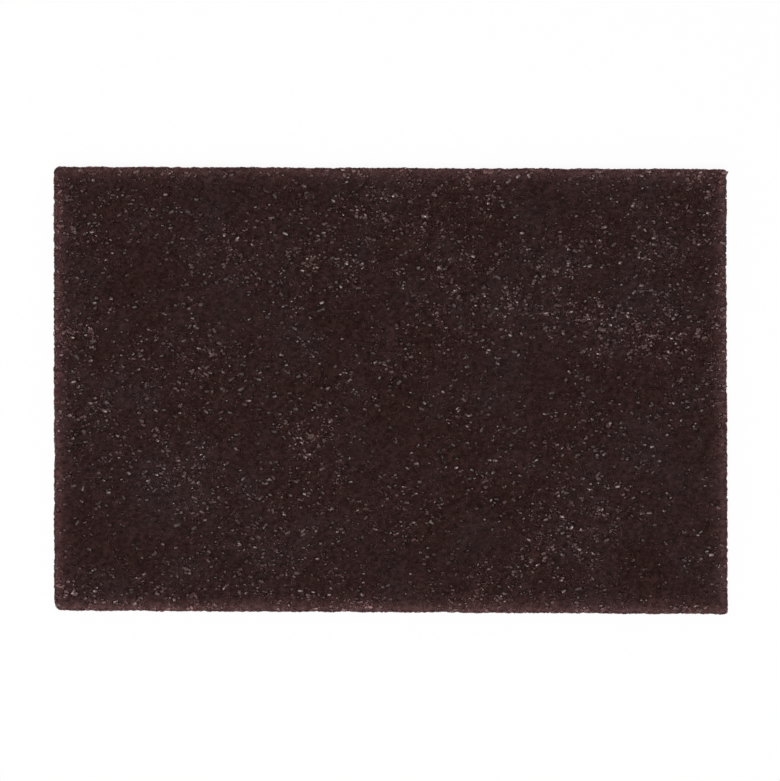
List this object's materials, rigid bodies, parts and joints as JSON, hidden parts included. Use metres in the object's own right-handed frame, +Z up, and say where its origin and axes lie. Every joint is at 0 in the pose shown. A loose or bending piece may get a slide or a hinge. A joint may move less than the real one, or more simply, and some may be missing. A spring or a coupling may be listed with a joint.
{
  "type": "non-woven abrasive pad",
  "caption": "Flat rectangular non-woven abrasive hand pad: a springy web of resin-bonded fibres for scuffing, cleaning and blending surfaces by hand.",
  "frame": {"origin": "middle of the underside, where the pad lies on a bench", "axes": "+X along the pad's length, +Y across its width, +Z up through its thickness"},
  "size_m": [0.229, 0.152, 0.008],
  "materials": {
    "abrasive_web": "matte"
  },
  "bodies": {
    "root": {"abrasive_pad": "abrasive_web"}
  },
  "joints": []
}
